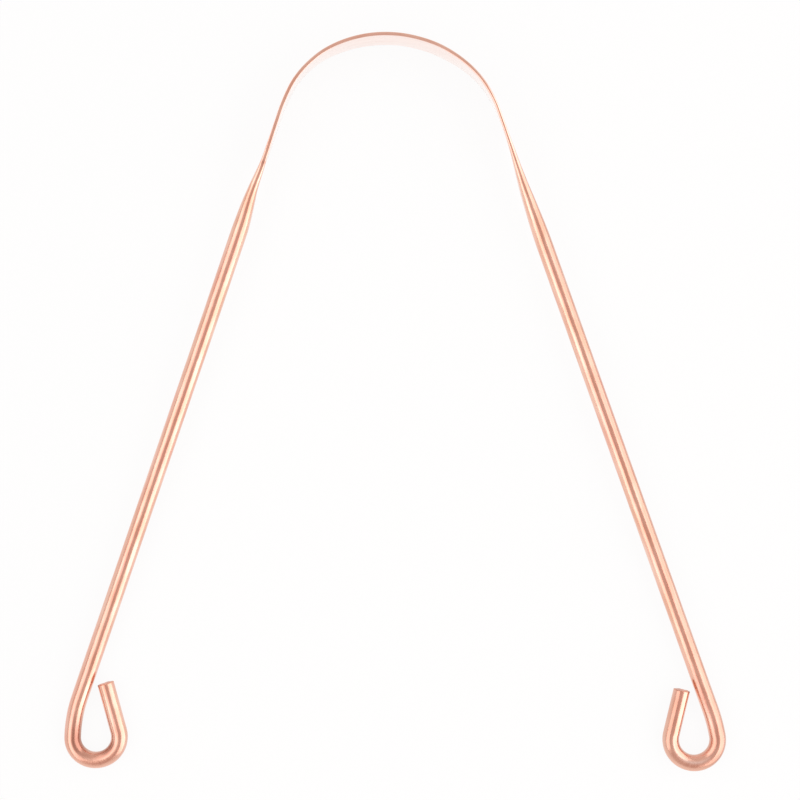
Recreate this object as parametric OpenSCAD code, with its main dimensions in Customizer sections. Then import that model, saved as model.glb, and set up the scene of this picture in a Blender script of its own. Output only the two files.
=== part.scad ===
// Tongue scraper bent from one length of round copper wire. The middle of the wire is rolled flat into
// a thin springy blade that stands on edge in a round arch. Each side runs through a tapered neck into
// a straight round arm, and each arm ends in an open loop.
// The modules below are the forming stretches of that one wire, cut where one shape turns into the next.
// Frame: the scraper lies flat, with +Y towards the arch and +Z up. The origin is at the centre of the
// outer box, level with the blade's lower edge.

/* [Wire] */
// Diameter of the round wire
wire_d = 3.15; // [2.5:0.05:4]

/* [Blade] */
// Thickness of the flattened stretch
blade_t = 0.7; // [0.5:0.05:1.2]
// Width of the flattened stretch, which stands up from the table
blade_w = 9.5; // [7:0.1:12]
// Radius of the arch on its inner side
arch_inner_r = 21.7; // [17:0.1:27]

/* [Left arm] */
// Angle of the left arm, out from the centre line
left_splay = 18.9; // [10:0.1:26]
// Length of the left neck, from flat to round
left_neck_len = 23.9; // [16:0.1:34]
// How late the left neck thickens, where 1 is an even taper
left_neck_bias = 1.5; // [0.7:0.05:2]
// Length of the left arm's straight round stretch
left_arm_len = 93.2; // [60:0.1:120]

/* [Right arm] */
// Angle of the right arm, out from the centre line
right_splay = 19.7; // [10:0.1:26]
// Length of the right neck, from flat to round
right_neck_len = 27; // [16:0.1:34]
// How late the right neck thickens, where 1 is an even taper
right_neck_bias = 1.15; // [0.7:0.05:2]
// Length of the right arm's straight round stretch
right_arm_len = 92.9; // [60:0.1:120]

/* [Loops] */
// Radius inside both loops, which is the peg that the wire is bent around
loop_inner_r = 2.9; // [2.4:0.05:5]
// Radius of the gentle curve that leads into the left loop
left_lead_r = 22.9; // [12:0.1:40]
// Turn of the gentle curve that leads into the left loop
left_lead_turn = 18; // [2:0.5:24]
// Length of the left loop's straight tip
left_tip_len = 9.4; // [4:0.1:12]
// Gap between the left tip's corner and the arm
left_tip_gap = 0.9; // [0.4:0.05:3]
// Radius of the gentle curve that leads into the right loop
right_lead_r = 29.9; // [12:0.1:40]
// Turn of the gentle curve that leads into the right loop
right_lead_turn = 10; // [2:0.5:24]
// Length of the right loop's straight tip
right_tip_len = 8.7; // [4:0.1:12]
// Gap between the right tip's corner and the arm
right_tip_gap = 0.95; // [0.4:0.05:3]

/* [Hidden] */
$fn = 96;
copper = "#d9966f";

// Which way an arm leans from the crown
LEFT = -1;
RIGHT = 1;

// The centre line of the wire lies in one level plane, half the blade's width up
wire_r = wire_d / 2;
mid_z = blade_w / 2;
arch_r = arch_inner_r + blade_t / 2;
loop_r = loop_inner_r + wire_r;

// The neck's loft: rings along it, and points round each ring
neck_rings = 24;
ring_points = 28;

// The cross-section's area changes a little, because rolling also stretches the wire
blade_area = blade_t * (blade_w - blade_t) + PI * pow(blade_t / 2, 2);
wire_area = PI * pow(wire_r, 2);

// An arm's heading, and the way to its inner side, where turn is the angle out from straight down
function along(side, turn) = [side * sin(turn), -cos(turn)];
function inward(side, turn) = [-side * cos(turn), -sin(turn)];

// Turn of a loop's tight bend. It goes past straight back until the near corner of the cut tip stands
// the named gap away from the arm's surface.
function loop_turn(lead_r, lead_turn, tip_len, tip_gap) =
    let (
        bend_out = lead_r - (lead_r - loop_r) * cos(lead_turn),
        reach = norm([loop_inner_r, tip_len])
    )
    180 - lead_turn + acos((tip_gap - bend_out + wire_r) / reach) - atan2(tip_len, loop_inner_r);

// Centre of a loop's tight bend, measured from the centre of the arch
function bend_centre(side, splay, straight, lead_r, lead_turn) =
    -arch_r * inward(side, splay)
    + straight * along(side, splay)
    + lead_r * inward(side, splay)
    - (lead_r - loop_r) * inward(side, splay - lead_turn);

left_straight = left_neck_len + left_arm_len;
right_straight = right_neck_len + right_arm_len;
left_bend = bend_centre(LEFT, left_splay, left_straight, left_lead_r, left_lead_turn);
right_bend = bend_centre(RIGHT, right_splay, right_straight, right_lead_r, right_lead_turn);
left_loop_turn = loop_turn(left_lead_r, left_lead_turn, left_tip_len, left_tip_gap);
right_loop_turn = loop_turn(right_lead_r, right_lead_turn, right_tip_len, right_tip_gap);

// The loops reach the outer box at the sides and bottom, and the arch reaches it at the top
arch_at = -[
    (left_bend.x + right_bend.x) / 2,
    (arch_r + blade_t / 2 + min(left_bend.y, right_bend.y) - loop_r - wire_r) / 2
];

// Carries its children to a place along one side of the wire, where +X is the way on towards the loop
// and +Y is the inner side of the bend
module on_side(side, splay, distance) {
    at = arch_at - arch_r * inward(side, splay) + distance * along(side, splay);
    heading = along(side, splay);
    translate([at.x, at.y, mid_z])
        rotate(atan2(heading.y, heading.x))
            mirror([0, side == RIGHT ? 1 : 0, 0])
                children();
}

// Section of the flattened wire, with rounded edges
module blade_section() {
    square([blade_t, blade_w - blade_t], center = true);
    for (edge = [-1, 1])
        translate([0, edge * (blade_w - blade_t) / 2])
            circle(d = blade_t);
}

// The arch, from one neck round to the other
module scraping_blade() {
    color(copper)
        translate([arch_at.x, arch_at.y, mid_z])
            rotate(right_splay)
                rotate_extrude(angle = 180 - left_splay - right_splay)
                    translate([arch_r, 0])
                        blade_section();
}

// How far a neck has changed from flat to round, from 0 to 1, at a share of its length
function rounding(along_share, bias) =
    let (late = pow(along_share, bias))
    late * late * (3 - 2 * late);

// One ring of the neck's skin: two round edges, joined by the flat faces left by the rollers
function neck_ring(x, thick, area) =
    let (flat_half = (area / thick - PI * thick / 4) / 2)
    [
        for (k = [0:ring_points - 1])
            let (turn = 360 * (k + 0.5) / ring_points)
            [x, cos(turn) * thick / 2, sin(turn) * thick / 2 + sign(sin(turn)) * flat_half]
    ];

// Neck along +X, from the blade's section to the round wire
module neck(length, bias) {
    rings = [
        for (i = [0:neck_rings])
            let (done = rounding(i / neck_rings, bias))
            neck_ring(
                length * i / neck_rings,
                blade_t + (wire_d - blade_t) * done,
                blade_area + (wire_area - blade_area) * done
            )
    ];
    points = [for (ring = rings) each ring];
    skin = [
        for (i = [0:neck_rings - 1], k = [0:ring_points - 1])
            let (
                a = i * ring_points + k,
                b = i * ring_points + (k + 1) % ring_points
            )
            each [[a, b, b + ring_points], [a, b + ring_points, a + ring_points]]
    ];
    start_cap = [for (k = [ring_points - 1:-1:0]) k];
    end_cap = [for (k = [0:ring_points - 1]) neck_rings * ring_points + k];
    polyhedron(points = points, faces = concat(skin, [start_cap, end_cap]), convexity = 4);
}

module left_neck() {
    color(copper) on_side(LEFT, left_splay, 0) neck(left_neck_len, left_neck_bias);
}

module right_neck() {
    color(copper) on_side(RIGHT, right_splay, 0) neck(right_neck_len, right_neck_bias);
}

// Straight round wire along +X
module straight_wire(length) {
    rotate([0, 90, 0]) cylinder(d = wire_d, h = length);
}

module left_arm() {
    color(copper)
        on_side(LEFT, left_splay, left_neck_len)
            straight_wire(left_arm_len);
}

module right_arm() {
    color(copper)
        on_side(RIGHT, right_splay, right_neck_len)
            straight_wire(right_arm_len);
}

// Round wire that sets off along +X and turns to +Y
module bent_wire(radius, turn) {
    translate([0, radius, 0])
        rotate(-90)
            rotate_extrude(angle = turn)
                translate([radius, 0])
                    circle(d = wire_d);
}

// Carries its children to the end of such a bend
module after_bend(radius, turn) {
    translate([radius * sin(turn), radius * (1 - cos(turn)), 0])
        rotate(turn)
            children();
}

// Gentle curve at the end of each arm, which brings the wire back towards straight down
module left_lead_in() {
    color(copper) on_side(LEFT, left_splay, left_straight) bent_wire(left_lead_r, left_lead_turn);
}

module right_lead_in() {
    color(copper) on_side(RIGHT, right_splay, right_straight) bent_wire(right_lead_r, right_lead_turn);
}

// Tight bend of each open loop
module left_loop() {
    color(copper)
        on_side(LEFT, left_splay, left_straight)
            after_bend(left_lead_r, left_lead_turn)
                bent_wire(loop_r, left_loop_turn);
}

module right_loop() {
    color(copper)
        on_side(RIGHT, right_splay, right_straight)
            after_bend(right_lead_r, right_lead_turn)
                bent_wire(loop_r, right_loop_turn);
}

// Straight tip that closes each loop, cut off square
module left_tip() {
    color(copper)
        on_side(LEFT, left_splay, left_straight)
            after_bend(left_lead_r, left_lead_turn)
                after_bend(loop_r, left_loop_turn)
                    straight_wire(left_tip_len);
}

module right_tip() {
    color(copper)
        on_side(RIGHT, right_splay, right_straight)
            after_bend(right_lead_r, right_lead_turn)
                after_bend(loop_r, right_loop_turn)
                    straight_wire(right_tip_len);
}

scraping_blade();
left_neck();
right_neck();
left_arm();
right_arm();
left_lead_in();
right_lead_in();
left_loop();
right_loop();
left_tip();
right_tip();
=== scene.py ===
"""Looks of a tongue scraper bent from one copper wire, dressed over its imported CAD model.

Every piece is a section carried along the wire's centre line, from the crown of the arch down each side
to the cut tip, so neighbouring pieces meet without a step. Lengths are in metres in the CAD model's
frame, with +Y to the arch and +Z up.
"""

import logging
import math
from dataclasses import dataclass
from enum import Enum
from typing import Any, Dict, List, Optional, Sequence, Tuple, Union

import bpy
import numpy as np
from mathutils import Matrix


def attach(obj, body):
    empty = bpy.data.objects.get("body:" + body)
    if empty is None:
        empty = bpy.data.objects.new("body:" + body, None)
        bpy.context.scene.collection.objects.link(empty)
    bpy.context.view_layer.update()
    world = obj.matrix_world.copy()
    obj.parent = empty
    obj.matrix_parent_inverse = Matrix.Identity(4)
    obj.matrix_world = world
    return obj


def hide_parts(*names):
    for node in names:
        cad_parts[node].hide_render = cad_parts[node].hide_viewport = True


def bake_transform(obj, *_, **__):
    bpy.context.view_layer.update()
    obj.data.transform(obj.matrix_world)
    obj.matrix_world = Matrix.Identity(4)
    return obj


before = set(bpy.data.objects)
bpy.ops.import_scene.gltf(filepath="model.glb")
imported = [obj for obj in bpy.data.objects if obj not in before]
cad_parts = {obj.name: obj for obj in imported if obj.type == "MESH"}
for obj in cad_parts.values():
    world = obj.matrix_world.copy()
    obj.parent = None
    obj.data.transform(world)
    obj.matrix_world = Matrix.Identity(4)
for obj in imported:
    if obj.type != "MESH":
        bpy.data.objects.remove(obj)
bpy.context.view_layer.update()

MM = 0.001
PLACE = "wire_place"
WORKING = "working"
SHARP_ANGLE = 50
Numbers = Union[float, np.ndarray]
Pairs = Tuple[Tuple[float, float], ...]
Marks = Dict[str, bpy.types.NodeSocket]
log = logging.getLogger("scraper")


class Side(Enum):
    """A side of the scraper as it lies, with the sign of its X direction."""

    LEFT = -1
    RIGHT = 1

    @property
    def word(self) -> str:
        """The side's name as it stands in the names of CAD nodes."""
        return self.name.lower()


class Stretch(Enum):
    """A forming stretch of the wire, in order from the crown of the arch to the tip."""

    ARCH = "arch"
    NECK = "neck"
    ARM = "arm"
    LEAD_IN = "lead_in"
    LOOP = "loop"
    TIP = "tip"


@dataclass(frozen=True)
class WireStock:
    """Sizes that both sides of the wire share."""

    diameter: float = 3.15 * MM
    blade_thickness: float = 0.7 * MM
    blade_width: float = 9.5 * MM
    arch_inner_radius: float = 21.7 * MM
    peg_radius: float = 2.9 * MM

    @property
    def radius(self) -> float:
        """Radius of the round wire."""
        return self.diameter / 2

    @property
    def arch_radius(self) -> float:
        """Radius of the arch at the wire's centre line."""
        return self.arch_inner_radius + self.blade_thickness / 2

    @property
    def loop_radius(self) -> float:
        """Radius of a loop at the wire's centre line."""
        return self.peg_radius + self.radius

    @property
    def blade_area(self) -> float:
        """Area of the rolled section: a flat strip with half-round edges."""
        flat = self.blade_width - self.blade_thickness
        return self.blade_thickness * flat + math.pi * (self.blade_thickness / 2) ** 2

    @property
    def wire_area(self) -> float:
        """Area of the round section."""
        return math.pi * self.radius**2


@dataclass(frozen=True)
class Handle:
    """Bends and lengths of one side of the wire, from its neck to its tip. Angles are in degrees.

    The wire was bent by hand over a former. Stray holds how far it lies outside its true line, lean how
    far its flattened stretch leans in at the top, and dressed how wide the rolls left the flat of its
    edge, all as pairs of a distance along the wire in millimetres and a value in millimetres or
    degrees. Rub says how dark the peg rubbed the loop, between two shares of its bend, burnish how
    bright the painted highlight ring along its top is, tarnish how dark the painted shade on the outer
    flank is, smudge how much darker that painted shade is round a share of the bend, and slant how far
    the cut leans back on its outer side.
    """

    side: Side
    splay: float
    neck_length: float
    neck_lateness: float
    arm_length: float
    lead_radius: float
    lead_turn: float
    tip_length: float
    tip_gap: float
    stray: Pairs
    lean: Pairs
    dressed: Pairs
    rub: float
    rub_from: float
    rub_to: float
    ring_highlight: float
    flank_shade: float
    smudge: Tuple[float, float]
    slant: float
    press_mark: Optional[float] = None
    stock: WireStock = WireStock()

    @property
    def body(self) -> str:
        """The CAD body that this side of the wire rides on."""
        return f"{self.side.word}_side"

    def loop_turn(self) -> float:
        """Works out how far the tight bend turns, in degrees.

        The bend goes past straight back until the near corner of the cut tip stands tip_gap away from
        the arm, so the arc cosine is of that gap over the corner's reach from the bend's centre.

        Returns:
            The turn of the loop's tight bend.
        """
        stock = self.stock
        bend_out = self.lead_radius - (self.lead_radius - stock.loop_radius) * math.cos(
            math.radians(self.lead_turn)
        )
        reach = math.hypot(stock.peg_radius, self.tip_length)
        opening = math.acos((self.tip_gap - bend_out + stock.radius) / reach)
        lean = math.atan2(self.tip_length, stock.peg_radius)
        return 180 - self.lead_turn + math.degrees(opening - lean)


LEFT_HANDLE = Handle(
    side=Side.LEFT, splay=18.9, neck_length=23.9 * MM, neck_lateness=1.5, arm_length=93.2 * MM,
    lead_radius=22.9 * MM, lead_turn=18, tip_length=9.4 * MM, tip_gap=0.9 * MM,
    stray=(
        (-12.0, -0.13), (-5.7, -0.27), (0.0, -0.2), (4.0, -0.08), (8.8, 0.15), (12.9, 0.41),
        (17.6, 0.39), (20.4, 0.29), (24.4, -0.07), (28.0, -0.17), (34.3, -0.16), (36.5, -0.05),
        (39.2, 0.09), (41.0, 0.16), (43.6, 0.11), (46.0, 0.05), (49.0, -0.04), (70.0, -0.1),
        (120.0, -0.09), (143.0, -0.05), (149.0, -0.09), (154.0, -0.02), (159.4, -0.12), (165.0, 0.0),
    ),
    lean=(
        (3.0, 0.0), (8.8, 1.0), (12.9, 2.5), (17.6, 3.5), (29.0, 3.5), (34.3, 4.0), (37.0, 7.0),
        (39.2, 9.0), (41.0, 8.0), (43.6, 4.0), (47.0, 0.0),
    ),
    dressed=((16.0, 0.4), (22.0, 0.5), (30.0, 0.5), (36.0, 0.45)),
    rub=0.9, rub_from=-0.45, rub_to=0.95, ring_highlight=0.25, flank_shade=0.16, smudge=(0.3, 0.74),
    slant=0.04 * MM, press_mark=9.6 * MM,
)
RIGHT_HANDLE = Handle(
    side=Side.RIGHT, splay=19.7, neck_length=27 * MM, neck_lateness=1.15, arm_length=92.9 * MM,
    lead_radius=29.9 * MM, lead_turn=10, tip_length=8.7 * MM, tip_gap=0.95 * MM,
    stray=(
        (-8.8, 0.15), (-4.0, -0.08), (0.0, -0.2), (5.7, -0.27), (12.2, -0.13), (16.0, 0.07),
        (20.3, 0.3), (24.0, 0.29), (28.0, 0.34), (31.5, 0.41), (34.0, 0.37), (38.0, 0.17),
        (42.0, 0.05), (90.0, -0.02), (140.0, -0.06), (150.0, -0.05), (155.0, 0.0),
    ),
    lean=((11.0, 0.0), (16.0, 1.5), (20.3, 3.0), (28.0, 4.5), (33.0, 6.0), (40.0, 3.5), (45.0, 0.0)),
    dressed=((12.0, 0.4), (20.0, 0.2), (24.0, 0.1)),
    rub=0.4, rub_from=-0.3, rub_to=1.05, ring_highlight=1.0, flank_shade=0.5, smudge=(0.45, 0.26),
    slant=0.2 * MM,
)


class CentreLine:
    """Centre line of one side of the wire, as straight and bent stretches in a level plane."""

    def __init__(self, handle: Handle, crown: Sequence[float]) -> None:
        """Lays the stretches end to end.

        Args:
            handle: Bends and lengths of this side.
            crown: X and Y of the centre line at the crown of the arch.
        """
        stock = handle.stock
        arch_turn = math.radians(90 - handle.splay)
        lead_turn, loop_turn = math.radians(handle.lead_turn), math.radians(handle.loop_turn())
        lengths = [
            stock.arch_radius * arch_turn, handle.neck_length, handle.arm_length,
            handle.lead_radius * lead_turn, stock.loop_radius * loop_turn, handle.tip_length,
        ]
        bends = [1 / stock.arch_radius, 0, 0, 1 / handle.lead_radius, 1 / stock.loop_radius, 0]
        self.handle = handle
        self.starts = np.concatenate([[0.0], np.cumsum(lengths)])
        self.bends = np.array(bends, float)
        self.turns = np.concatenate([[0.0], np.cumsum(self.bends * lengths)])
        places = [np.array(crown, float)]
        for turn, bend, length in zip(self.turns, self.bends, lengths):
            places.append(places[-1] + self._step(turn, bend, length))
        self.places = np.array(places)

    def _directions(self, turn: Numbers) -> Tuple[np.ndarray, np.ndarray]:
        """Works out which way the wire heads. At the crown it heads straight out to its side.

        Args:
            turn: How far the wire has turned since the crown, in radians.

        Returns:
            The heading and the inward direction, with a last axis of X and Y.
        """
        sign = self.handle.side.value
        heading = np.stack([sign * np.cos(turn), -np.sin(turn)], -1)
        inward = np.stack([-sign * np.sin(turn), -np.cos(turn)], -1)
        return heading, inward

    def _step(self, turn: Numbers, bend: Numbers, length: Numbers) -> np.ndarray:
        """Moves along a straight or evenly bent stretch.

        The move is sin(bend length) / bend along the heading and (1 - cos(bend length)) / bend to the
        inner side, which is the length itself and nothing where the bend is zero.

        Args:
            turn: How far the wire has turned where the stretch starts, in radians.
            bend: One over the radius, or zero where the stretch is straight.
            length: How far to go.

        Returns:
            The move, with a last axis of X and Y.
        """
        turn, bend, length = np.asarray(turn), np.asarray(bend), np.asarray(length)
        heading, inward = self._directions(turn)
        swept = bend * length
        safe = np.where(bend > 0, bend, 1.0)
        ahead = np.where(bend > 0, np.sin(swept) / safe, length)
        aside = np.where(bend > 0, (1 - np.cos(swept)) / safe, 0.0)
        return ahead[..., None] * heading + aside[..., None] * inward

    def span(self, stretch: Stretch) -> Tuple[float, float]:
        """Distances along the wire at which a stretch starts and ends."""
        index = list(Stretch).index(stretch)
        return float(self.starts[index]), float(self.starts[index + 1])

    def true_at(self, distance: np.ndarray) -> Tuple[np.ndarray, np.ndarray]:
        """Follows the true centre line.

        Args:
            distance: Distances along the wire from the crown, of any shape.

        Returns:
            The points and the inward directions there, with a last axis of X and Y.
        """
        passed = np.searchsorted(self.starts, distance, side="right")
        index = np.clip(passed - 1, 0, len(self.bends) - 1)
        into = distance - self.starts[index]
        points = self.places[index] + self._step(self.turns[index], self.bends[index], into)
        return points, self._directions(self.turns[index] + self.bends[index] * into)[1]

    def at(self, distance: np.ndarray) -> Tuple[np.ndarray, np.ndarray]:
        """Follows the centre line of the wire as it was bent, with the handle's stray.

        Args:
            distance: Distances along the wire from the crown, of any shape.

        Returns:
            The points and the inward directions there, with a last axis of X and Y.
        """
        points, inward = self.true_at(distance)
        return points - read_pairs(self.handle.stray, distance)[..., None] * MM * inward, inward


def ease(value: np.ndarray, start: float, end: float) -> np.ndarray:
    """Eases from 0 at start to 1 at end, as 3 x squared less 2 x cubed. Start may be above end."""
    share = np.clip((value - start) / (end - start), 0, 1)
    return share * share * (3 - 2 * share)


def bump_at(value: np.ndarray, centre: float, width: float) -> np.ndarray:
    """Bell curve of height 1: e to the power of minus the squared distance in widths."""
    return np.exp(-(((value - centre) / width) ** 2))


def read_pairs(pairs: Pairs, distance: np.ndarray) -> np.ndarray:
    """Reads a value along the wire.

    The pairs are joined by straight lines, and the mean at nine points up to 1.2 mm before and after
    the place eases their corners.

    Args:
        pairs: Pairs of a distance in millimetres and a value.
        distance: Distances along the wire in metres, of any shape.

    Returns:
        The value at each distance.
    """
    places, values = np.array(pairs).T
    near = distance[..., None] / MM + np.linspace(-1.2, 1.2, 9)
    return np.interp(near, places, values).mean(-1)


def linear(hex_colour: str) -> Tuple[float, float, float, float]:
    """Turns a colour into linear light.

    Args:
        hex_colour: The colour in sRGB, as # and six hex digits.

    Returns:
        Red, green and blue in linear light, with an alpha of 1.
    """
    parts = [int(hex_colour.lstrip("#")[i : i + 2], 16) / 255 for i in (0, 2, 4)]
    light = [p / 12.92 if p <= 0.04045 else ((p + 0.055) / 1.055) ** 2.4 for p in parts]
    return light[0], light[1], light[2], 1.0


def add_node(
    tree: bpy.types.NodeTree,
    kind: str,
    settings: Optional[Dict[str, Any]] = None,
    inputs: Optional[Dict[Any, Any]] = None,
) -> bpy.types.Node:
    """Adds a shader node with its settings, values and links.

    Args:
        tree: Node tree to add to.
        kind: Blender's type name of the node.
        settings: Attributes of the node itself.
        inputs: Value or linked output for each input, by name or number. A Mix node's inputs are 0 for
            the share, 2 and 3 for two plain numbers, and 6 and 7 for two colours.

    Returns:
        The new node.
    """
    node = tree.nodes.new(kind)
    for key, value in (settings or {}).items():
        setattr(node, key, value)
    for key, value in (inputs or {}).items():
        if isinstance(value, bpy.types.NodeSocket):
            tree.links.new(value, node.inputs[key])
        else:
            node.inputs[key].default_value = value
    return node


def grid_faces(rings: int, count: int, flipped: bool) -> List[List[int]]:
    """Faces of a grid of closed rings of points, with a flat face over each end.

    Args:
        rings: How many rings the grid has.
        count: How many points each ring has.
        flipped: True where the rings run the other way round.

    Returns:
        The quads from ring to ring, then the face over the first ring and the face over the last.
    """
    ring, here = np.arange(rings - 1)[:, None] * count, np.arange(count)[None, :]
    ahead = (here + 1) % count
    quads = np.stack([ring + here, ring + ahead, ring + ahead + count, ring + here + count], -1)
    order = -1 if flipped else 1
    start = np.arange(count)[::-order]
    end = np.arange(count)[::order] + (rings - 1) * count
    return quads.reshape(-1, 4)[:, ::order].tolist() + [start.tolist(), end.tolist()]


def add_mesh(name: str, points: np.ndarray, faces: List[List[int]]) -> bpy.types.Object:
    """Adds a smooth-shaded mesh to the scene.

    Args:
        name: Name of the mesh and of its object.
        points: The points, with a last axis of X, Y and Z.
        faces: The numbers of the points round each face.

    Returns:
        The object, at the origin.
    """
    mesh = bpy.data.meshes.new(name)
    mesh.from_pydata(points.reshape(-1, 3).tolist(), [], faces)
    mesh.polygons.foreach_set("use_smooth", np.ones(len(faces), bool))
    piece = bpy.data.objects.new(name, mesh)
    bpy.context.scene.collection.objects.link(piece)
    return piece


@dataclass(frozen=True)
class Tone:
    """Colours and gloss of bare copper after one way of working. Metal tints what it mirrors."""

    fresh: str
    oxide: str
    roughness: float


# Copper C101 drawn through a round die: bright, with the first warm oxide in its lines.
DRAWN_TONE = Tone(fresh="#F5CBB8", oxide="#E7AE95", roughness=0.2)
# The same copper squeezed between polished rolls: burnished faces, paler than the drawn wire. It is
# also the pale tone of the painted reflection on the blade's inner face and of the painted highlight
# ring on the loops.
ROLLED_AND_SHEEN_TONE = Tone(fresh="#FCDDD0", oxide="#F8D2C3", roughness=0.17)
# The bare end that the shear blades left: torn, grainy and matt.
SHEARED_TONE = Tone(fresh="#F0B497", oxide="#C98062", roughness=0.42)


@dataclass(frozen=True)
class CopperFinish:
    """Bare copper with the marks of its working, in a pattern that follows the wire before bending.

    The pattern's X runs along the wire, Y to its inner side and Z up. Lines run lengthwise from the die
    or the rolls, drawn about twice as wide as real ones so that they show. The working attribute's red
    says how far the wire is pressed flat and burnished pale, which also holds the painted pale
    reflection on the blade's inner face and the painted highlight ring on the loops. Its green says how
    rough the bend left it, like orange peel, and its blue how dark it is: worn and oxidised places,
    with painted shade inside the loops and on the outer flanks. The clear film on the burnished faces
    gives them a pale sheen where they are seen nearly edge-on. Grain's height is its relief beside that
    of the lines.
    """

    name: str
    tone: Tone
    pressed_and_sheen_tone: Tone = ROLLED_AND_SHEEN_TONE
    stain_tint: str = "#EFA99C"
    stain_share: float = 0.5
    # Tint of wear, and of the painted shade inside the loops and on the outer flanks.
    crease_tint: str = "#B57E6D"
    peel_tint: str = "#F6C0A9"
    peel_share: float = 0.6
    peel_roughness: float = 0.27
    film_roughness: float = 0.16
    line_width: float = 0.26 * MM
    line_length: float = 7 * MM
    line_depth: float = 0.012 * MM
    grain_width: float = 0.45 * MM
    grain_height: float = 0.6
    peel_grain_height: float = 2.6
    blot_width: float = 1.5 * MM
    blot_share: float = 0.8

    def material(self) -> bpy.types.Material:
        """Builds the node tree of this finish.

        Returns:
            The material, or the one that was already made.
        """
        made = bpy.data.materials.get(self.name)
        if made:
            return made
        made = bpy.data.materials.new(self.name)
        made.use_nodes = True
        tree = made.node_tree
        tree.nodes.clear()
        marks = self._marks(tree)
        look = {
            "Metallic": 1.0,
            "Base Color": self._colour(tree, marks),
            "Roughness": self._gloss(tree, marks),
            "Normal": self._relief(tree, marks),
            "Coat Weight": marks["pressed"],
            "Coat Roughness": self.film_roughness,
        }
        shader = add_node(tree, "ShaderNodeBsdfPrincipled", {}, look)
        add_node(tree, "ShaderNodeOutputMaterial", {}, {"Surface": shader.outputs["BSDF"]})
        return made

    def _marks(self, tree: bpy.types.NodeTree) -> Marks:
        """Lays out the patterns of the surface and the marks of working.

        Args:
            tree: Node tree of the finish.

        Returns:
            Lines, grain, blots and stain, each about 0.5 on average, and pressed, peel and wear with
            painted shade.
        """
        place = add_node(tree, "ShaderNodeAttribute", {"attribute_name": PLACE}).outputs["Vector"]
        patterns = {
            "lines": (self.line_length, self.line_width, 3.0),
            "grain": (3 * self.grain_width, self.grain_width, 2.0),
            "blots": (4 * self.blot_width, self.blot_width, 3.0),
            "stain": (9 * self.blot_width, 0.4 * self.blot_width, 2.0),
        }
        marks = {}
        for name, (along, across, detail) in patterns.items():
            scale = (1 / along, 1 / across, 1 / across)
            spread = add_node(tree, "ShaderNodeMapping", {}, {"Vector": place, "Scale": scale})
            look = {"Vector": spread.outputs["Vector"], "Scale": 1.0, "Detail": detail}
            marks[name] = add_node(tree, "ShaderNodeTexNoise", {}, look).outputs["Fac"]
        working = add_node(tree, "ShaderNodeAttribute", {"attribute_name": WORKING})
        parts = add_node(tree, "ShaderNodeSeparateColor", {}, {0: working.outputs["Color"]})
        marks.update(zip(("pressed", "peel", "crease"), parts.outputs))
        return marks

    def _colour(self, tree: bpy.types.NodeTree, marks: Marks) -> bpy.types.NodeSocket:
        """Mixes fresh copper and warm oxide, then tints what is pale, stained, bent rough, worn or
        painted with shade.

        Args:
            tree: Node tree of the finish.
            marks: What _marks laid out.

        Returns:
            The output that holds the base colour.
        """
        shares = {}
        for name, low, high, most in (
            ("blots", 0.36, 0.66, self.blot_share), ("stain", 0.42, 0.7, self.stain_share)
        ):
            spread = {"Value": marks[name], "From Min": low, "From Max": high, "To Max": most}
            shares[name] = add_node(tree, "ShaderNodeMapRange", {}, spread).outputs["Result"]
        bare = []
        for tone in (self.tone, self.pressed_and_sheen_tone):
            mixed = {0: shares["blots"], 6: linear(tone.fresh), 7: linear(tone.oxide)}
            bare.append(add_node(tree, "ShaderNodeMix", {"data_type": "RGBA"}, mixed).outputs[2])
        rough = add_node(
            tree, "ShaderNodeMath", {"operation": "MULTIPLY"}, {0: marks["peel"], 1: self.peel_share}
        ).outputs[0]
        colour = bare[0]
        for share, tint in (
            # Pale tone: burnished rolled copper, with a painted pale reflection on the blade's inner
            # face and a painted highlight ring on the loops.
            (marks["pressed"], bare[1]),
            (shares["stain"], linear(self.stain_tint)),
            (rough, linear(self.peel_tint)),
            # Wear and oxide, with painted shade inside the loops and on the outer flanks.
            (marks["crease"], linear(self.crease_tint)),
        ):
            mixed = {0: share, 6: colour, 7: tint}
            colour = add_node(tree, "ShaderNodeMix", {"data_type": "RGBA"}, mixed).outputs[2]
        return colour

    def _gloss(self, tree: bpy.types.NodeTree, marks: Marks) -> bpy.types.NodeSocket:
        """Goes from the plain metal's roughness to that of a rough bend, a rub or a patch of painted
        shade.

        The grain varies either roughness from a fifth less to a quarter more.

        Args:
            tree: Node tree of the finish.
            marks: What _marks laid out.

        Returns:
            The output that holds the roughness.
        """
        gloss = []
        for rough in (self.tone.roughness, self.peel_roughness):
            spread = {"From Min": 0.3, "From Max": 0.7, "To Min": 0.8 * rough, "To Max": 1.25 * rough}
            spread["Value"] = marks["grain"]
            gloss.append(add_node(tree, "ShaderNodeMapRange", {}, spread).outputs["Result"])
        worked = add_node(
            tree, "ShaderNodeMath", {"operation": "MAXIMUM"}, {0: marks["peel"], 1: marks["crease"]}
        ).outputs[0]
        mixed = {0: worked, 2: gloss[0], 3: gloss[1]}
        return add_node(tree, "ShaderNodeMix", {"data_type": "FLOAT"}, mixed).outputs[0]

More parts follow.
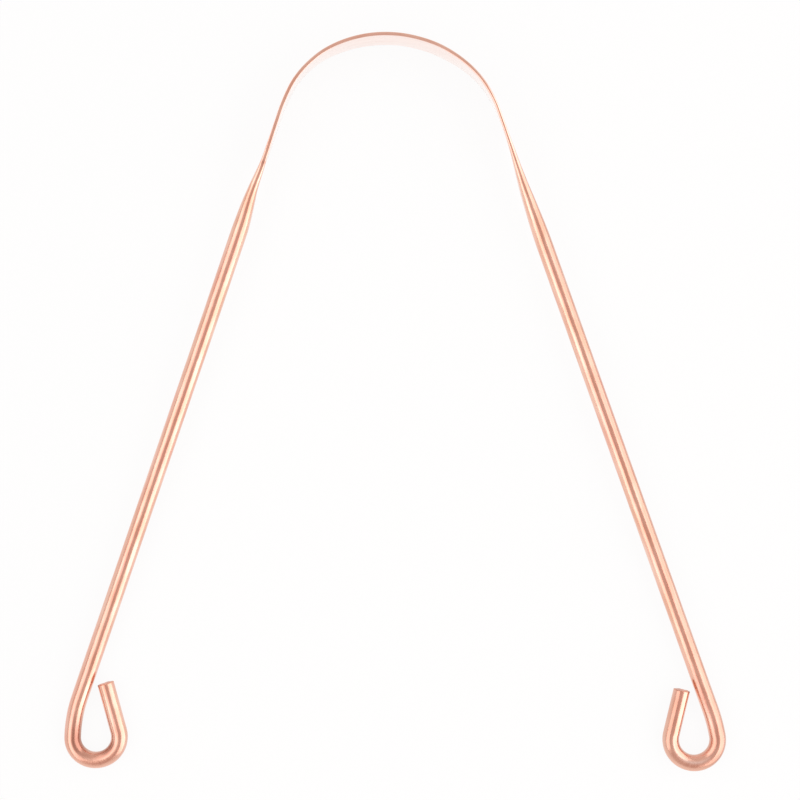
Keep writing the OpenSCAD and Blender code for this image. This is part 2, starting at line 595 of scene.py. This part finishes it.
    def _relief(self, tree: bpy.types.NodeTree, marks: Marks) -> bpy.types.NodeSocket:
        """Raises the lines and the grain, and the grain of a rough bend higher.

        Args:
            tree: Node tree of the finish.
            marks: What _marks laid out.

        Returns:
            The output that holds the bumped normal.
        """
        spread = {"Value": marks["peel"], "To Min": self.grain_height, "To Max": self.peel_grain_height}
        weight = add_node(tree, "ShaderNodeMapRange", {}, spread).outputs["Result"]
        summed = {0: marks["grain"], 1: weight, 2: marks["lines"]}
        height = add_node(tree, "ShaderNodeMath", {"operation": "MULTIPLY_ADD"}, summed).outputs[0]
        bump = {"Strength": 1.0, "Distance": self.line_depth, "Height": height}
        return add_node(tree, "ShaderNodeBump", {}, bump).outputs["Normal"]


DRAWN = CopperFinish("drawn_copper_wire", DRAWN_TONE)
ROLLED = CopperFinish("rolled_copper_strip", DRAWN_TONE, stain_share=0.15)
SHEARED = CopperFinish(
    "sheared_copper_end",
    SHEARED_TONE,
    crease_tint="#8A5442",
    line_width=0.18 * MM,
    line_length=0.18 * MM,
    line_depth=0.03 * MM,
    grain_width=0.25 * MM,
    blot_width=0.8 * MM,
)


@dataclass(frozen=True)
class Skin:
    """A closed surface worked out as a grid: n rings along the wire, each of m points round it."""

    points: np.ndarray
    places: np.ndarray
    working: np.ndarray


@dataclass(frozen=True)
class WirePiece:
    """One stretch of the wire as a piece of its own, which stands for the CAD node of that stretch.

    Distances are a column with a row for each ring, measured along the wire from the crown. Turns are
    a row of angles round the section in radians, from the inner side up and over the top. The end
    rings are the last ones, which have the sheared finish.
    """

    line: CentreLine
    mid_height: float
    finish: CopperFinish = DRAWN
    stretch: Stretch = Stretch.ARM
    slot: str = "drawn_copper"
    ring_gap: float = 0.8 * MM
    points_round: int = 72
    end_rings: int = 0

    @property
    def handle(self) -> Handle:
        """Sizes of the side that this piece is on."""
        return self.line.handle

    @property
    def node(self) -> str:
        """Name of the CAD node that this piece stands for."""
        return f"{self.handle.side.word}_{self.stretch.value}"

    def rings(self) -> Tuple[np.ndarray, np.ndarray]:
        """Spaces the rings evenly along the stretch.

        Returns:
            The distance of each ring and the scale of its section, each as a column.
        """
        start, end = self.line.span(self.stretch)
        count = max(2, int(math.ceil((end - start) / self.ring_gap)) + 1)
        return np.linspace(start, end, count)[:, None], np.ones((count, 1))

    def section(self, distance: np.ndarray, turn: np.ndarray) -> Tuple[np.ndarray, np.ndarray]:
        """Round section: radius times cosine to the inner side and radius times sine up."""
        radius = self.handle.stock.radius - self.sink(distance, turn)
        return radius * np.cos(turn), radius * np.sin(turn)

    def sink(self, distance: np.ndarray, turn: np.ndarray) -> np.ndarray:
        """How far the surface lies under the true round, which is nothing on plain wire."""
        return np.zeros_like(distance * turn)

    def pressed(self, distance: np.ndarray, turn: np.ndarray) -> np.ndarray:
        """How far the wire is pressed flat, from 0 to 1, which is not at all on round wire."""
        return np.zeros_like(distance * turn)

    def bend_share(self, distance: np.ndarray) -> np.ndarray:
        """Share of the loop's tight bend that lies behind a point: under 0 before it, over 1 after."""
        start, end = self.line.span(Stretch.LOOP)
        return (distance - start) / (end - start)

    def peel(self, distance: np.ndarray, turn: np.ndarray) -> np.ndarray:
        """How rough bending left the surface: most in the tight bend's middle, fading to both ends."""
        share = self.bend_share(distance)
        return ease(share, 0, 0.4) * ease(share, 1, 0.6) * np.ones_like(turn)

    def crease(self, distance: np.ndarray, turn: np.ndarray) -> np.ndarray:
        """Works out how dark the surface is: rubbed by the peg, with painted shade inside and out.

        The inner face of the bend has a little painted shade, where the loop's limbs shade each other.
        The rub covers the inner flank where the bend starts, keeps lower on it further on, and is
        lighter near the middle of the bend. The outer flank has painted shade, darker than its very
        edge, which dims the near lamp's reflection there, and the bend's peel has a shade of its own.

        Args:
            distance: Distances of the rings.
            turn: Turns of the points.

        Returns:
            The darkness of each point, from 0 to 1.
        """
        share, facing, side = self.bend_share(distance), np.cos(turn), self.handle
        # Painted shade on the inner face of the loop, where its limbs shade each other.
        painted_inner_shade = 0.4 * ease(share, -0.1, 0.2) * ease(share, 1.3, 1.0) * ease(facing, 0.6, 0.95)
        along = ease(share, side.rub_from, side.rub_from + 0.5)
        along *= ease(share, side.rub_to, side.rub_to - 0.2)
        lighter = 1 - 0.55 * bump_at(share, 0.42, 0.17)
        low = 0.2 * ease(share, 0.1, 0.4)
        rubbed = side.rub * along * lighter * ease(facing - low, -0.15, 0.25)
        peel = self.peel(distance, turn)
        # Painted shade on the outer flank, heavier round a share of the bend, which dims the near
        # lamp's reflection.
        extra_flank_shade = side.smudge[0] * bump_at(share, side.smudge[1], 0.1)
        outer_flank = ease(facing, 0, -0.5) * (1 - 0.6 * ease(facing, -0.6, -0.9))
        painted_flank_shade = (side.flank_shade * (1 - peel) + 0.18 * peel + extra_flank_shade) * outer_flank
        return np.maximum(np.maximum(painted_inner_shade, rubbed), painted_flank_shade)

    def skin(self) -> Skin:
        """Carries the section along the centre line.

        A point is the centre line's point plus its inner part times the inward direction, and its
        height is the wire's middle height plus its upward part, after the section's lean.

        Returns:
            The grid of points with the pattern's places and the marks of working.
        """
        distance, scale = self.rings()
        turn = (np.arange(self.points_round) + 0.5)[None, :] * 2 * math.pi / self.points_round
        inner, up = self.section(distance, turn)
        inner, up = inner * scale, up * scale
        distance = np.broadcast_to(distance, inner.shape)
        lean = np.radians(read_pairs(self.handle.lean, distance))
        flat, inward = self.line.at(distance)
        level = flat + (inner * np.cos(lean) + up * np.sin(lean))[..., None] * inward
        height = self.mid_height + up * np.cos(lean) - inner * np.sin(lean)
        points = np.concatenate([level, height[..., None]], -1)
        places = np.stack([self.handle.side.value * distance, inner, up], -1)
        marks = [self.pressed(distance, turn), self.peel(distance, turn), self.crease(distance, turn)]
        return Skin(points, places, np.stack(marks + [np.ones(inner.shape)], -1))

    def dressed(self, name: str) -> bpy.types.Object:
        """Puts the skin into a mesh with its marks and finish, to stand for the CAD node.

        Args:
            name: Name of the piece.

        Returns:
            The object, at the origin.
        """
        skin = self.skin()
        rings, count = skin.points.shape[:2]
        faces = grid_faces(rings, count, flipped=self.handle.side is Side.RIGHT)
        piece = add_mesh(name, skin.points, faces)
        mesh = piece.data
        place = mesh.attributes.new(PLACE, "FLOAT_VECTOR", "POINT")
        place.data.foreach_set("vector", skin.places.astype(np.float32).ravel())
        working = mesh.attributes.new(WORKING, "FLOAT_COLOR", "POINT")
        working.data.foreach_set("color", skin.working.astype(np.float32).ravel())
        mesh.materials.append(self.finish.material())
        if self.end_rings:
            mesh.materials.append(SHEARED.material())
            slots = np.zeros(len(faces), np.int32)
            slots[(rings - 1 - self.end_rings) * count : -2] = 1
            slots[-1] = 1
            mesh.polygons.foreach_set("material_index", slots)
        mesh.set_sharp_from_angle(angle=math.radians(SHARP_ANGLE))
        mesh.update()
        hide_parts(self.node)
        return piece

    def build(self) -> bpy.types.Object:
        """Makes the piece and lets it ride with its CAD body."""
        piece = self.dressed(f"{self.node}_skin")
        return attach(piece, self.handle.body)


@dataclass(frozen=True)
class FlattenedPiece(WirePiece):
    """A stretch whose section is pressed flat, with rounded edges that the rolls dressed nearly flat.

    The press values say how far the rolls burnished its edges, and how much further its faces. The
    inner face's larger value is partly a painted pale reflection, where that face is seen nearly
    edge-on.
    """

    finish: CopperFinish = ROLLED
    slot: str = "rolled_copper"
    ring_gap: float = 0.25 * MM
    points_round: int = 96
    edge_press: float = 0.3
    inner_press_and_sheen: float = 0.7
    outer_press: float = 0.35

    def rounding(self, distance: np.ndarray) -> np.ndarray:
        """How far the section has changed from flat to round, from 0 to 1."""
        return np.zeros_like(distance)

    def pressed(self, distance: np.ndarray, turn: np.ndarray) -> np.ndarray:
        """Works out how far the strip is pressed flat, most on its inner face and least on its edges.

        The share goes with the cube of how far the section still is from round.

        Args:
            distance: Distances of the rings.
            turn: Turns of the points.

        Returns:
            The share of each point, from 0 to 1.
        """
        # The inner face's larger share is partly a painted pale reflection, where it is seen nearly
        # edge-on.
        face = np.where(np.cos(turn) > 0, self.inner_press_and_sheen, self.outer_press)
        across = self.edge_press + face * ease(np.abs(np.cos(turn)), 0.25, 0.75)
        return (1 - self.rounding(distance)) ** 3 * across

    def crease(self, distance: np.ndarray, turn: np.ndarray) -> np.ndarray:
        """The wear and the painted shade fade towards the blade, which is scraped clean in use."""
        return np.sqrt(self.rounding(distance)) * super().crease(distance, turn)

    def section(self, distance: np.ndarray, turn: np.ndarray) -> Tuple[np.ndarray, np.ndarray]:
        """Works out the flattened section, from the blade's thickness and area to the round wire's.

        Half the flat face is half of (area over thickness, less pi thickness over 4), which keeps the
        area. The corner's radius is half the thickness less half the flat of the edge, and that flat
        shrinks with the square of how far the section is still pressed. The two halves of flat move
        the round corner out from the middle, up or down and to either side.

        Args:
            distance: Distances of the rings.
            turn: Turns of the points.

        Returns:
            How far each point lies to the inner side of the centre line, and how far above it.
        """
        stock, done = self.handle.stock, self.rounding(distance)
        thickness = stock.blade_thickness + (stock.diameter - stock.blade_thickness) * done
        area = stock.blade_area + (stock.wire_area - stock.blade_area) * done
        half_flat = (area / thickness - math.pi * thickness / 4) / 2
        half_edge = read_pairs(self.handle.dressed, distance) / 2 * MM * (1 - done) ** 2
        corner = thickness / 2 - half_edge - self.sink(distance, turn)
        inner = corner * np.cos(turn) + np.sign(np.cos(turn)) * half_edge
        return inner, corner * np.sin(turn) + np.sign(np.sin(turn)) * (half_flat + half_edge)


@dataclass(frozen=True)
class BladeHalf(FlattenedPiece):
    """Half of the thin springy blade, from the crown of the arch to one neck.

    The stiff share of its length at either end gives two places along it, which build hands on unused.
    """

    stretch: Stretch = Stretch.ARCH
    stiff_share: float = 0.02

    @property
    def node(self) -> str:
        """The CAD node is the whole blade, and this half stands for its side of it."""
        return "scraping_blade"

    def build(self) -> bpy.types.Object:
        """Makes the half blade and bakes its place into its points.

        Returns:
            The object, at the origin.
        """
        piece = self.dressed(f"{self.handle.side.word}_blade_skin")
        length = self.line.span(self.stretch)[1]
        ends = self.line.at(np.array([self.stiff_share * length, (1 - self.stiff_share) * length]))[0]
        places = [(*map(float, place), self.mid_height) for place in ends]
        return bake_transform(piece, "blade", self.handle.body, start=places[0], end=places[1])


@dataclass(frozen=True)
class Neck(FlattenedPiece):
    """Taper between the flat blade and the round arm."""

    stretch: Stretch = Stretch.NECK
    mark_depth: float = 0.05 * MM
    mark_width: float = 0.5 * MM

    def rounding(self, distance: np.ndarray) -> np.ndarray:
        """Eases from flat to round over the neck, late by a power of the share of its length."""
        start, end = self.line.span(self.stretch)
        return ease(((distance - start) / (end - start)) ** self.handle.neck_lateness, 0, 1)

    def _die_mark(self, distance: np.ndarray, turn: np.ndarray) -> np.ndarray:
        """Shapes the mark that the corner of the press die left on the upper inner edge.

        Args:
            distance: Distances of the rings.
            turn: Turns of the points.

        Returns:
            Bell curve round the mark, or nothing where the side has none.
        """
        if self.handle.press_mark is None:
            return np.zeros_like(distance * turn)
        past = distance - self.line.span(self.stretch)[0]
        along = bump_at(past, self.handle.press_mark, self.mark_width)
        return along * bump_at(turn, math.radians(70), math.radians(60))

    def sink(self, distance: np.ndarray, turn: np.ndarray) -> np.ndarray:
        """The die's mark, as deep as mark_depth."""
        return self.mark_depth * self._die_mark(distance, turn)

    def crease(self, distance: np.ndarray, turn: np.ndarray) -> np.ndarray:
        """The die's mark holds a little dark oxide."""
        return np.maximum(0.6 * self._die_mark(distance, turn), super().crease(distance, turn))


@dataclass(frozen=True)
class Arm(WirePiece):
    """Straight round arm."""

    stretch: Stretch = Stretch.ARM


@dataclass(frozen=True)
class LeadIn(WirePiece):
    """Gentle curve that leads from the arm into the loop."""

    stretch: Stretch = Stretch.LEAD_IN
    ring_gap: float = 0.3 * MM


@dataclass(frozen=True)
class Loop(WirePiece):
    """Tight bend round the peg: rubbed on its inner side, and like orange peel where it stretched.

    Lever line is where the bending lever slid, and where the painted highlight ring runs, in degrees
    up from the inner side.
    """

    stretch: Stretch = Stretch.LOOP
    ring_gap: float = 0.08 * MM
    press_depth: float = 0.05 * MM
    facet_depth: float = 0.035 * MM
    lever_line: float = 81.0
    wrinkle_depth: float = 0.005 * MM
    wrinkle_gap: float = 0.7 * MM

    def _wrinkles(self, distance: np.ndarray, turn: np.ndarray) -> np.ndarray:
        """Shapes short creases across the wire: the fourth power of a wandering sine, near the top.

        Args:
            distance: Distances of the rings.
            turn: Turns of the points.

        Returns:
            The creases, from 0 to 1.
        """
        wander = 1.1 * np.sin(2.3 * turn) + 1.3 * np.sin(0.55 * math.pi * distance / self.wrinkle_gap)
        wave = np.sin(math.pi * distance / self.wrinkle_gap + wander) ** 4
        near_top = bump_at(turn, math.radians(98), math.radians(16))
        return wave * near_top * bump_at(self.bend_share(distance), 0.52, 0.24)

    def sink(self, distance: np.ndarray, turn: np.ndarray) -> np.ndarray:
        """Adds the peg's flat on the inner side, the lever's low facet above it, and the wrinkles.

        The facet is the inner side of a smooth step over 16 degrees at the lever line, eased away
        further down.

        Args:
            distance: Distances of the rings.
            turn: Turns of the points.

        Returns:
            How far each point lies under the true round.
        """
        middle = bump_at(self.bend_share(distance), 0.5, 0.35)
        flat = np.clip(np.cos(turn), 0, 1) ** 8
        step = ease(turn, math.radians(self.lever_line + 8), math.radians(self.lever_line - 8))
        facet = step * ease(turn, 0, math.radians(60))
        pressed = (self.press_depth * flat + self.facet_depth * facet) * middle
        return pressed + self.wrinkle_depth * self._wrinkles(distance, turn)

    def pressed(self, distance: np.ndarray, turn: np.ndarray) -> np.ndarray:
        """A painted highlight along a pale ring near the top, at the lever line, most in the bend's
        middle.
        """
        ring = bump_at(turn, math.radians(self.lever_line), math.radians(15))
        return self.handle.ring_highlight * ring * bump_at(self.bend_share(distance), 0.5, 0.32)

    def peel(self, distance: np.ndarray, turn: np.ndarray) -> np.ndarray:
        """The orange peel of the bend, smoothed away under the painted highlight ring."""
        return super().peel(distance, turn) * (1 - self.pressed(distance, turn))

    def crease(self, distance: np.ndarray, turn: np.ndarray) -> np.ndarray:
        """The wrinkles darken the rubbed surface further."""
        rubbed = super().crease(distance, turn)
        return np.clip(rubbed + 0.3 * self._wrinkles(distance, turn), 0, 1)


@dataclass(frozen=True)
class Tip(WirePiece):
    """Straight tip with its sheared end, which has a rounded rim and a torn face."""

    stretch: Stretch = Stretch.TIP
    ring_gap: float = 0.4 * MM
    end_rings: int = 16
    rim_rings: int = 6
    rim: float = 0.16 * MM
    middle_scale: float = 0.04
    torn_depth: float = 0.06 * MM

    def rings(self) -> Tuple[np.ndarray, np.ndarray]:
        """Spaces plain rings, then a quarter-round rim, then rings that close over the end face.

        On the rim the distance grows by rim times sine and the scale shrinks by rim times one less
        cosine. On the face the scale goes on down to a small middle.

        Returns:
            The distance of each ring and the scale of its section, each as a column.
        """
        start, end = self.line.span(self.stretch)
        face_rings, rim_share = self.end_rings - self.rim_rings, self.rim / self.handle.stock.radius
        straight = np.linspace(start, end - self.rim, int((end - start) / self.ring_gap) + 1)
        swing = np.linspace(0, math.pi / 2, self.rim_rings + 1)[1:]
        edge = end - self.rim + self.rim * np.sin(swing)
        closing = np.linspace(1 - rim_share, self.middle_scale, face_rings + 1)[1:]
        distance = np.concatenate([straight, edge, np.full(face_rings, end)])
        scale = np.concatenate([np.ones(len(straight)), 1 - rim_share * (1 - np.cos(swing)), closing])
        return distance[:, None], scale[:, None]

    def skin(self) -> Skin:
        """Leans the end face back and roughens it, and darkens its upper inner corner.

        Two waves across the face stand for the torn grain, and all of it fades out over the last
        three rims of length.

        Returns:
            The grid of points with the pattern's places and the marks of working.
        """
        made = super().skin()
        start, end = self.line.span(self.stretch)
        radius = self.handle.stock.radius
        inner, up = made.places[..., 1] / radius, made.places[..., 2] / radius
        near = ease(np.abs(made.places[..., 0]), end - 3 * self.rim, end)
        torn = 0.5 + 0.5 * np.sin(5.1 * inner + 2.3) * np.cos(4.3 * up + 0.6)
        back = near * (self.handle.slant * 0.5 * (1 - inner) + self.torn_depth * torn)
        base, tip = self.line.at(np.array([start, end]))[0]
        heading = (tip - base) / np.linalg.norm(tip - base)
        points, working = made.points.copy(), made.working.copy()
        points[..., :2] -= back[..., None] * heading
        # The upper inner corner of the cut end is made darker.
        dark_corner = near * ease(inner, 0.6, 0.85) * ease(up, 0.1, 0.4)
        working[..., 2] = np.maximum(working[..., 2], dark_corner)
        return Skin(points, made.places, working)


@dataclass(frozen=True)
class Scraper:
    """The whole scraper: two handles that meet at the crown of the arch."""

    left: Handle
    right: Handle

    def crown(self) -> Tuple[float, float]:
        """Finds the crown that centres the outer box of both sides on the origin.

        Returns:
            X and Y of the centre line at the crown.
        """
        stock, centres = self.left.stock, []
        for handle in (self.left, self.right):
            line = CentreLine(handle, (0.0, 0.0))
            point, inward = line.true_at(np.array([line.span(Stretch.LOOP)[0]]))
            centres.append((point + stock.loop_radius * inward)[0])
        top = stock.blade_thickness / 2
        bottom = min(centres[0][1], centres[1][1]) - stock.loop_radius - stock.radius
        return -(centres[0][0] + centres[1][0]) / 2, -(top + bottom) / 2

    def build(self) -> List[bpy.types.Object]:
        """Builds every piece of both sides, from the crown outwards.

        Returns:
            The pieces.
        """
        made = []
        for handle in (self.left, self.right):
            line = CentreLine(handle, self.crown())
            for kind in (BladeHalf, Neck, Arm, LeadIn, Loop, Tip):
                made.append(kind(line, handle.stock.blade_width / 2).build())
                log.info("%s: %d points", made[-1].name, len(made[-1].data.vertices))
        return made


@dataclass(frozen=True)
class Softbox:
    """A soft lamp to one side. Its lean is the angle from shining straight down to shining across.

    Out, ahead and height say where its middle hangs: to its side, towards the arch, and up.
    """

    name: str
    side: Side
    out: float
    ahead: float
    height: float
    lean: float
    width: float
    length: float
    radiance: float
    spread: float = 180.0

    def build(self) -> bpy.types.Object:
        """Places the lamp. Its power is radiance times pi times its area.

        Returns:
            The lamp's object.
        """
        lamp = bpy.data.lights.new(self.name, "AREA")
        lamp.shape = "RECTANGLE"
        lamp.size, lamp.size_y = self.width, self.length
        lamp.energy = self.radiance * math.pi * self.width * self.length
        lamp.spread = math.radians(self.spread)
        holder = bpy.data.objects.new(self.name, lamp)
        holder.location = (self.side.value * self.out, self.ahead, self.height)
        holder.rotation_euler = (0, self.side.value * math.radians(self.lean), 0)
        holder.visible_camera = False
        bpy.context.scene.collection.objects.link(holder)
        return holder


LEFT_SOFTBOX = Softbox(
    "left_softbox", Side.LEFT, out=0.144, ahead=-0.01, height=0.23, lean=77,
    width=0.274, length=0.4, radiance=0.82, spread=150,
)
RIGHT_SOFTBOX = Softbox(
    "right_softbox", Side.RIGHT, out=0.52, ahead=-0.15, height=0.3, lean=60,
    width=0.68, length=1.2, radiance=1.2,
)


@dataclass(frozen=True)
class Studio:
    """Table, backdrop, soft light and the camera that looks straight down.

    Angles are in degrees. Half view is half the camera's field of view, and table touch is a Y and Z
    that the table passes through. Card reflectance is the share of light that the white card's matt
    side sends back. Ceiling edge holds the cosines, from the ceiling's middle, between which it gives
    way to the walls.
    """

    camera_height: float = 351.75 * MM
    camera_x: float = 0.935 * MM
    camera_y: float = 0.64 * MM
    half_view: float = 12.35
    table_lean: float = 1.48
    table_touch: Tuple[float, float] = (-68.1 * MM, 3.175 * MM)
    table_radius: float = 2.2
    backdrop_radius: float = 0.8
    flat_rings: int = 24
    backdrop_rings: int = 16
    points_round: int = 96
    card_reflectance: float = 0.86
    ceiling_tint: str = "#D5C1BB"
    wall_tint: str = "#E6DCD8"
    ceiling_lean: float = 22.0
    ceiling_edge: Tuple[float, float] = (0.9, 0.74)
    lamps: Tuple[Softbox, ...] = (LEFT_SOFTBOX, RIGHT_SOFTBOX)

    def camera(self) -> bpy.types.Object:
        """Hangs the camera over the scraper with the photograph's frame.

        Returns:
            The camera's object.
        """
        lens = bpy.data.cameras.new("overhead_camera")
        lens.sensor_width = 36
        lens.lens = lens.sensor_width / 2 / math.tan(math.radians(self.half_view))
        lens.clip_start, lens.clip_end = 0.01, 20
        camera = bpy.data.objects.new("overhead_camera", lens)
        camera.location = (self.camera_x, self.camera_y, self.camera_height)
        bpy.context.scene.collection.objects.link(camera)
        bpy.context.scene.camera = camera
        return camera

    def table(self) -> bpy.types.Object:
        """Makes the table top and the backdrop round it as one smooth surface.

        The surface is a line turned round the middle: flat to table_radius, then a quarter circle up.
        It leans by table_lean, so that the scraper's loops and the blade's edge rest on it.

        Returns:
            The stage object.
        """
        flat = np.concatenate([[0.001], np.geomspace(0.05, self.table_radius, self.flat_rings)])
        swing = np.linspace(0, math.pi / 2, self.backdrop_rings + 1)[1:]
        out = np.concatenate([flat, self.table_radius + self.backdrop_radius * np.sin(swing)])
        rise = np.concatenate([np.zeros(len(flat)), self.backdrop_radius * (1 - np.cos(swing))])
        turn = np.linspace(0, 2 * math.pi, self.points_round + 1)[:-1][None, :]
        x, y = out[:, None] * np.cos(turn), out[:, None] * np.sin(turn)
        lean = math.tan(math.radians(self.table_lean))
        z = rise[:, None] + self.table_touch[1] - lean * (y - self.table_touch[0])
        faces = grid_faces(len(out), self.points_round, flipped=True)[:-1]
        table = add_mesh("table_and_backdrop", np.stack([x, y, z], -1), faces)
        table.data.materials.append(self._white_card())
        return table

    def _white_card(self) -> bpy.types.Material:
        """White card: matt under the lamps near the scraper, plain white to the eye further out.

        The camera sees 92 percent plain white up to 0.1 m from the middle and all of it from 0.4 m,
        so the scraper keeps its soft shadow. What the metal mirrors is plain white.

        Returns:
            The material.
        """
        card = bpy.data.materials.new("white_card")
        card.use_nodes = True
        tree = card.node_tree
        tree.nodes.clear()
        place = add_node(tree, "ShaderNodeTexCoord").outputs["Object"]
        reach = add_node(tree, "ShaderNodeVectorMath", {"operation": "LENGTH"}, {0: place})
        far = add_node(
            tree,
            "ShaderNodeMapRange",
            {"interpolation_type": "SMOOTHSTEP"},
            {"Value": reach.outputs["Value"], "From Min": 0.1, "From Max": 0.4, "To Min": 0.92},
        ).outputs["Result"]
        path = add_node(tree, "ShaderNodeLightPath")
        seen = {0: path.outputs["Is Camera Ray"], 1: far}
        share = add_node(tree, "ShaderNodeMath", {"operation": "MULTIPLY"}, seen).outputs[0]
        for kind in ("Is Glossy Ray", "Is Transmission Ray"):
            either = {0: share, 1: path.outputs[kind]}
            share = add_node(tree, "ShaderNodeMath", {"operation": "MAXIMUM"}, either).outputs[0]
        grey = (self.card_reflectance,) * 3 + (1.0,)
        matt = add_node(tree, "ShaderNodeBsdfDiffuse", {}, {"Color": grey})
        white = add_node(tree, "ShaderNodeEmission", {}, {"Color": linear("#FFFFFF"), "Strength": 1.0})
        layers = {0: share, 1: matt.outputs["BSDF"], 2: white.outputs["Emission"]}
        mixed = add_node(tree, "ShaderNodeMixShader", {}, layers).outputs["Shader"]
        add_node(tree, "ShaderNodeOutputMaterial", {}, {"Surface": mixed})
        return card

    def room(self) -> None:
        """Sets a dim ceiling, which the copper mirrors as its dark lines, and pale walls.

        The share of wall follows the cosine of the angle from the ceiling's middle, which lies
        ceiling_lean degrees to the side of the loops.
        """
        world = bpy.data.worlds.new("dim_room")
        bpy.context.scene.world = world
        world.use_nodes = True
        tree = world.node_tree
        lean = math.radians(self.ceiling_lean)
        way = add_node(tree, "ShaderNodeTexCoord").outputs["Generated"]
        middle = {0: way, 1: (0.0, -math.sin(lean), math.cos(lean))}
        height = add_node(tree, "ShaderNodeVectorMath", {"operation": "DOT_PRODUCT"}, middle)
        ceiling, wall = self.ceiling_edge
        share = add_node(
            tree,
            "ShaderNodeMapRange",
            {"interpolation_type": "SMOOTHSTEP"},
            {"Value": height.outputs["Value"], "From Min": ceiling, "From Max": wall},
        ).outputs["Result"]
        tints = {0: share, 6: linear(self.ceiling_tint), 7: linear(self.wall_tint)}
        mixed = add_node(tree, "ShaderNodeMix", {"data_type": "RGBA"}, tints).outputs[2]
        tree.links.new(mixed, tree.nodes["Background"].inputs["Color"])

    def build(self) -> None:
        """Sets up everything round the scraper."""
        self.camera()
        self.table()
        self.room()
        for lamp in self.lamps:
            lamp.build()
        bpy.context.scene.view_settings.view_transform = "Standard"


def main() -> None:
    logging.basicConfig(level=logging.INFO, format="%(name)s: %(message)s")
    Studio().build()
    pieces = Scraper(LEFT_HANDLE, RIGHT_HANDLE).build()
    log.info("%d pieces", len(pieces))


if __name__ == "__main__":
    main()
